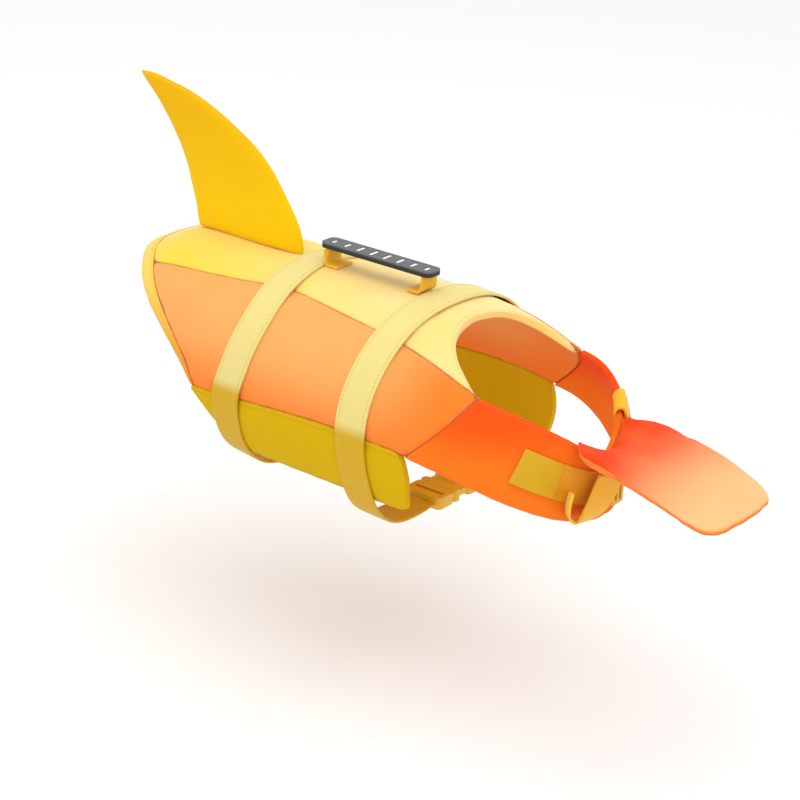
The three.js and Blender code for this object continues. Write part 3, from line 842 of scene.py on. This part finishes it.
def folded_patch(points, reach, thick):
    """The strap's end is folded back on itself and sewn down: a second layer over its first."""
    bm = bmesh.new()
    kept = []
    far = 0
    for i, row in enumerate(points):
        if i:
            far += (row[1] - points[i - 1][1]).length
        if far <= reach * MM:
            kept.append([bm.verts.new(point) for point in row])
    for before, after in zip(kept, kept[1:]):
        for k in range(len(before) - 1):
            bm.faces.new((before[k], after[k], after[k + 1], before[k + 1]))
    bm.normal_update()
    middle = sum((vert.co for vert in bm.verts), Vector()) / len(bm.verts)
    if sum((face.normal.x for face in bm.faces)) < 0:
        bmesh.ops.reverse_faces(bm, faces=bm.faces)
    for elements in (bm.verts, bm.edges, bm.faces):
        elements.index_update()
    set_map(bm, grid_rows(list(bm.faces)))
    bm.normal_update()
    for vert in bm.verts:
        vert.co = middle + (vert.co - middle) * 0.985 + vert.normal * 0.1 * MM
    lower = bmesh.ops.duplicate(bm, geom=bm.faces[:] + bm.edges[:] + bm.verts[:])
    flipped = [item for item in lower["geom"] if isinstance(item, bmesh.types.BMFace)]
    for vert in [v for v in bm.verts if v not in {w for f in flipped for w in f.verts}]:
        vert.co += vert.normal * thick * MM
    bmesh.ops.reverse_faces(bm, faces=flipped)
    rims = [edge for edge in bm.edges if edge.is_boundary]
    bmesh.ops.bridge_loops(bm, edges=rims)
    bm.normal_update()
    top = forms(bm)[0]
    hold_edges(bm, top)
    round_rim(bm, top, 0.3 * MM)
    return subdivided(bm, 2)


PATCH_REACH, PATCH_THICK = 38, 0.9
patch_mesh = folded_patch(chest[1], PATCH_REACH, PATCH_THICK)
patch_surface = BVHTree.FromBMesh(patch_mesh)
patch = piece("chest_strap_patch", patch_mesh, PATCH_WEB, "webbing")


RUN_ABOVE, RUN_LIFT = 17 * MM, 2.2 * MM  # the handle's webbing runs inside the grip
RISERS = (27 * MM, 114 * MM)


def handle_straps():
    bm = copied("handle_webbing")
    outside, _ = squares(bm)
    rows = grid_rows(outside)
    set_map(bm, rows)
    for vert in bm.verts:
        if vert.co.z > RUN_ABOVE:
            vert.co.z += RUN_LIFT
            if RISERS[0] < vert.co.x < RISERS[1]:
                vert.co.y *= 0.6
    sharp = [edge for edge in bm.edges if edge.calc_face_angle(0) > SHARP]
    bmesh.ops.bevel(
        bm, geom=sharp, offset=0.45 * MM, offset_type="OFFSET", segments=2, profile=0.5,
        affect="EDGES", clamp_overlap=True, material=-1,
    )
    surface = BVHTree.FromBMesh(bm)
    return piece("handle_strap", bm, TAB_WEB, "webbing", "handle_webbing", flat_angle=50), surface


handle, handle_surface = handle_straps()


# Stitching

def one_stitch():
    bm = bmesh.new()
    bmesh.ops.create_uvsphere(bm, u_segments=6, v_segments=4, radius=1)
    mesh = bpy.data.meshes.new("stitch")
    bm.to_mesh(mesh)
    bm.free()
    return mesh


STITCH = one_stitch()


def sew(bm, points, surface, pitch=3.2, length=2.3, wide=0.6):
    """Lay stitches on a surface along a line of points."""
    line = evenly(points, pitch * MM)
    for here, there in zip(line, line[1:]):
        place, up, *_ = surface.find_nearest((here + there) / 2)
        run = there - here
        run = (run - up * run.dot(up)).normalized()
        turn = Matrix((up.cross(run), up, run)).transposed().to_4x4()
        size = Matrix.Diagonal((wide * MM / 2, 0.35 * wide * MM, length * MM / 2, 1))
        matrix = Matrix.Translation(place + up * 0.08 * MM) @ turn @ size
        STITCH.transform(matrix)
        bm.from_mesh(STITCH)
        STITCH.transform(matrix.inverted())


def beside(points, column, inset):
    """A line along a grid's first or last column, or its rows' ends, a distance inside it."""
    toward = column + 1 if column == 0 else column - 1
    line = []
    for row in points:
        step = row[toward] - row[column]
        line.append(row[column] + step.normalized() * inset * MM)
    return line


def turned(points):
    return [list(row) for row in zip(*points)]


def stitched(name, colour, work):
    bm = bmesh.new()
    work(bm)
    return piece(name, bm, colour, "webbing")


SEWN_DOWN_TO = -112 * MM  # below this height the belts hang free of the panels


def belt_seams(bm):
    for _, points, surface in belts.values():
        for column in (0, 2):
            line = beside(points, column, 2.4)
            sew(bm, [point for point in line if point.z > SEWN_DOWN_TO], surface)
        ends = [row for row in points if row[1].z > SEWN_DOWN_TO]
        for row, following in ((ends[0], ends[1]), (ends[-1], ends[-2])):
            for step in (0, 0.35):
                across = [a.lerp(b, step) for a, b in zip(row, following)]
                inner = [across[0].lerp(across[2], share) for share in (0.1, 0.9)]
                sew(bm, inner, surface, pitch=2.4, length=2.0)


def edge_seams(bm):
    """A line of stitches along both edges of the rear border and along the neckline."""
    _, points, surface = cloths["border"]
    for column in (0, len(points[0]) - 1):
        middle = [row for row in points if (row[-1] - row[0]).length > 9 * MM]
        sew(bm, beside(middle, column, 2.2), surface)
    _, points, surface = cloths["back"]
    sew(bm, beside(turned(points), len(points) - 1, 3), surface)


def band_seams(bm):
    """The chest band's two hems, and the side panels' front seams beside it."""
    for hand in ("right", "left"):
        _, points, surface = cloths["band " + hand]
        for column in (0, len(points[0]) - 1):
            sew(bm, beside(points, column, 2.6), surface)
        _, points, surface = cloths["side " + hand]
        sew(bm, beside(turned(points), len(points) - 1, 2.6), surface)


def low_seams(bm):
    for hand in ("right", "left"):
        _, points, surface = cloths["low " + hand]
        for column in (0, len(points[0]) - 1):
            sew(bm, beside(points, column, 3.4), surface)


def boxed_cross(bm, corners, surface):
    """A sewn box with a cross in it. The corners go round the box."""
    for a, b in zip(corners, corners[1:] + corners[:1]):
        sew(bm, [a, b], surface, pitch=2.2, length=1.7, wide=0.55)
    for a, b in ((0, 2), (1, 3)):
        sew(bm, [corners[a], corners[b]], surface, pitch=2.2, length=1.7, wide=0.55)


def box_on(points, first, last, inset):
    """The corners of a box between two distances along a strap, in mm, inset from its edges."""
    far, rows = 0, []
    for i, row in enumerate(points):
        if i:
            far += (row[1] - points[i - 1][1]).length / MM
        rows.append((far, row))
    begin = min(rows, key=lambda item: abs(item[0] - first))[1]
    end = min(rows, key=lambda item: abs(item[0] - last))[1]
    share = inset * MM / (begin[-1] - begin[0]).length
    low = [row[0].lerp(row[-1], share) for row in (begin, end)]
    high = [row[0].lerp(row[-1], 1 - share) for row in (begin, end)]
    return [low[0], low[1], high[1], high[0]]


def strap_boxes(bm):
    boxed_cross(bm, box_on(chest[1], 4, 33, 4), patch_surface)
    boxed_cross(bm, box_on(chest[1][::-1], 3, 22, 4), chest[2])


stitched("belt_stitching", YELLOW_THREAD, belt_seams)
stitched("edge_stitching", YELLOW_THREAD, edge_seams)
stitched("lower_stitching", AMBER_THREAD, low_seams)
stitched("chest_stitching", ORANGE_THREAD, band_seams)
stitched("patch_stitching", BROWN_THREAD, strap_boxes)


# Hard parts

def softened(name, node, material, slot, radius):
    """A moulded plate with rounded edges."""
    bm = copied(node)
    bmesh.ops.dissolve_limit(bm, angle_limit=math.radians(1), verts=bm.verts, edges=bm.edges)
    sharp = [edge for edge in bm.edges if edge.calc_face_angle(0) > SHARP]
    bmesh.ops.bevel(
        bm, geom=sharp, offset=radius * MM, offset_type="OFFSET", segments=3, profile=0.5,
        affect="EDGES", clamp_overlap=True, material=-1,
    )
    obj = piece(name, bm, material, slot, node, flat_angle=35)
    obj.modifiers.new("even light on flats", "WEIGHTED_NORMAL").keep_sharp = True
    return obj


softened("grip_moulding", "handle_grip", GRIP_RUBBER, "rubber_grip", 0.8)
softened("slider_moulding", "chest_slider", BUCKLE_ACETAL, "plastic", 0.5)


def slab(size, cuts, holes, thick):
    """A plate in mm, from -x to +x and from y = 0, with some of its cells left out."""
    bm = bmesh.new()
    bmesh.ops.create_grid(bm, x_segments=1, y_segments=1, size=0.5)
    bmesh.ops.scale(bm, vec=(size[0], size[1], 1), verts=bm.verts)
    bmesh.ops.translate(bm, vec=(0, size[1] / 2, 0), verts=bm.verts)
    for axis, places in enumerate(cuts):
        for place in places:
            point, normal = Vector(), Vector()
            point[axis], normal[axis] = place, 1
            everything = bm.verts[:] + bm.edges[:] + bm.faces[:]
            bmesh.ops.bisect_plane(bm, geom=everything, dist=1e-4, plane_co=point, plane_no=normal)
    gone = [face for face in bm.faces if holes(*face.calc_center_median().xy)]
    bmesh.ops.delete(bm, geom=gone, context="FACES")
    grown = bmesh.ops.extrude_face_region(bm, geom=bm.faces[:])
    raised = [item for item in grown["geom"] if isinstance(item, bmesh.types.BMVert)]
    bmesh.ops.translate(bm, vec=(0, 0, thick), verts=raised)
    bmesh.ops.translate(bm, vec=(0, 0, -thick / 2), verts=bm.verts)
    bmesh.ops.recalc_face_normals(bm, faces=bm.faces)
    return bm


def rounded_slab(corner, edge, *plan):
    """A slab with its upright outer corners and then all its edges rounded."""
    bm = slab(*plan)
    bmesh.ops.dissolve_limit(bm, angle_limit=math.radians(1), verts=bm.verts, edges=bm.edges)
    ends = [max(abs(v.co[axis]) for v in bm.verts) for axis in (0,)]
    upright = [
        e for e in bm.edges
        if abs(e.verts[0].co.z - e.verts[1].co.z) > 1 and abs(abs(e.verts[0].co.x) - ends[0]) < 0.01
    ]
    settings = dict(offset_type="OFFSET", profile=0.5, affect="EDGES", clamp_overlap=True, material=-1)
    bmesh.ops.bevel(bm, geom=upright, offset=corner, segments=4, **settings)
    sharp = [e for e in bm.edges if e.calc_face_angle(0) > SHARP]
    bmesh.ops.bevel(bm, geom=sharp, offset=edge, segments=2, **settings)
    return bm


def into(bm, other, matrix):
    """Put one mesh into another at a place, and free it."""
    mesh = bpy.data.meshes.new("part")
    other.to_mesh(mesh)
    other.free()
    mesh.transform(matrix)
    if matrix.is_negative:
        mesh.flip_normals()
    bm.from_mesh(mesh)
    bpy.data.meshes.remove(mesh)


# The grip's slots in the model's plan, in mm: their middles along x, and their lengths across it.
SLOTS = [(27.8 + 12.2 * k, 5.5 + 5.5 * math.sin(math.pi * (k + 0.5) / 8) + 0.08 * k) for k in range(8)]
SLOT_WIDTH, INLAY_BOTTOM, INLAY_TOP = 3.4, 23.2, 25.5


def grip_inlays():
    """Pale soft inserts in the grip's slots, a little below its top."""
    bm = bmesh.new()
    for x, length in SLOTS:
        plan = (SLOT_WIDTH - 0.2, length - 0.2), ((), ()), lambda a, b: False, INLAY_TOP - INLAY_BOTTOM
        place = Matrix.Translation((x, -(length - 0.2) / 2, (INLAY_TOP + INLAY_BOTTOM) / 2))
        into(bm, rounded_slab(0.4, 0.2, *plan), Matrix.Scale(MM, 4) @ place)
    piece("grip_inlays", bm, PALE_RUBBER, "rubber_grip", flat_angle=40)


grip_inlays()


def buckle(end):
    """A plain side-release buckle. Its plug's two prongs show in the notches of its socket."""
    socket_box, plug_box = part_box(f"buckle_socket_{end}"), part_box(f"buckle_plug_{end}")
    low, high = (Vector(corner) for corner in socket_box)
    plug_low, plug_high = (Vector(corner) for corner in plug_box)
    width, thick = (high.x - low.x) / MM, (high.z - low.z) / MM
    reach, plug_reach = (high.y - low.y) / MM, (plug_high.y - plug_low.y) / MM
    half = width / 2
    middle = Vector(((low.x + high.x) / 2, low.y, (low.z + high.z) / 2))
    here = Matrix.Translation(middle) @ Matrix.Scale(MM, 4)

    socket = bmesh.new()
    notch = lambda x, y: (abs(x) > half - 4.5 and 8 < y < 18) or (abs(x) < 12.8 and 22 < y < 25.5)
    cuts = ((-half + 4.5, half - 4.5, -12.8, 12.8), (8, 18, 22, 25.5))
    into(socket, rounded_slab(4, 0.9, (width, reach), cuts, notch, thick), here)
    for k in range(4):
        rib = rounded_slab(0.5, 0.35, (17, 1.2), ((), ()), lambda x, y: False, thick + 0.9)
        into(socket, rib, here @ Matrix.Translation((0, 9 + 2.4 * k, 0)))
    piece(f"buckle_socket_{end}_moulding", socket, BUCKLE_ACETAL, "plastic", f"buckle_socket_{end}", flat_angle=40)

    plug = bmesh.new()
    back = Matrix.Scale(-1, 4, Vector((0, 1, 0)))
    slot = lambda x, y: abs(x) < 12.8 and 8 < y < 11.5
    body = rounded_slab(4, 0.9, (width, plug_reach), ((-12.8, 12.8), (8, 11.5)), slot, thick)
    gap = Matrix.Translation((0, (plug_high.y - low.y) / MM, 0))
    into(plug, body, here @ gap @ back)
    for side in (-1, 1):
        prong = rounded_slab(0.9, 0.6, (3.4, 19), ((), ()), lambda x, y: False, thick * 0.55)
        into(plug, prong, here @ Matrix.Translation((side * (half - 3.2), -1.5, 0)))
    piece(f"buckle_plug_{end}_moulding", plug, BUCKLE_ACETAL, "plastic", f"buckle_plug_{end}", flat_angle=40)


for end in ("rear", "front"):
    buckle(end)


# The cloth panels, all but the rear border


worn = [made[0] for key, made in cloths.items() if key != "border"]


# Studio

FLOOR = -0.275


def studio():
    world = scene.world or bpy.data.worlds.new("studio")
    scene.world = world
    world.use_nodes = True
    sky = next(node for node in world.node_tree.nodes if node.type == "BACKGROUND")
    sky.inputs["Color"].default_value = (1, 1, 1, 1)
    sky.inputs["Strength"].default_value = 1

    bm = bmesh.new()
    bmesh.ops.create_grid(bm, x_segments=1, y_segments=1, size=4)
    bmesh.ops.translate(bm, vec=(0, 0, FLOOR), verts=bm.verts)
    mesh = bpy.data.meshes.new("floor")
    bm.to_mesh(mesh)
    bm.free()
    # Matt white studio paper: no gloss, no pattern.
    paper, _, shader = finish("matt white paper")
    shader.inputs["Base Color"].default_value = linear("#f2f2f2")
    shader.inputs["Roughness"].default_value = 0.95
    mesh.materials.append(paper)
    floor = bpy.data.objects.new("floor", mesh)
    scene.collection.objects.link(floor)

    # Name, power in watts, size, and place: a large soft light overhead and two weak fills.
    for name, power, size, place in (
        ("overhead", 17, 2.6, (0.25, -0.25, 1.9)),
        ("front fill", 1.2, 1.2, (1.7, -0.9, 0.7)),
        ("side fill", 0.8, 1.2, (0.1, -1.9, 0.5)),
    ):
        lamp = bpy.data.lights.new(name, "AREA")
        lamp.energy, lamp.size = power, size
        light = bpy.data.objects.new(name, lamp)
        light.location = place
        light.rotation_euler = (AIM - Vector(place)).to_track_quat("-Z", "Y").to_euler()
        scene.collection.objects.link(light)
    scene.view_settings.view_transform = "Standard"


studio()
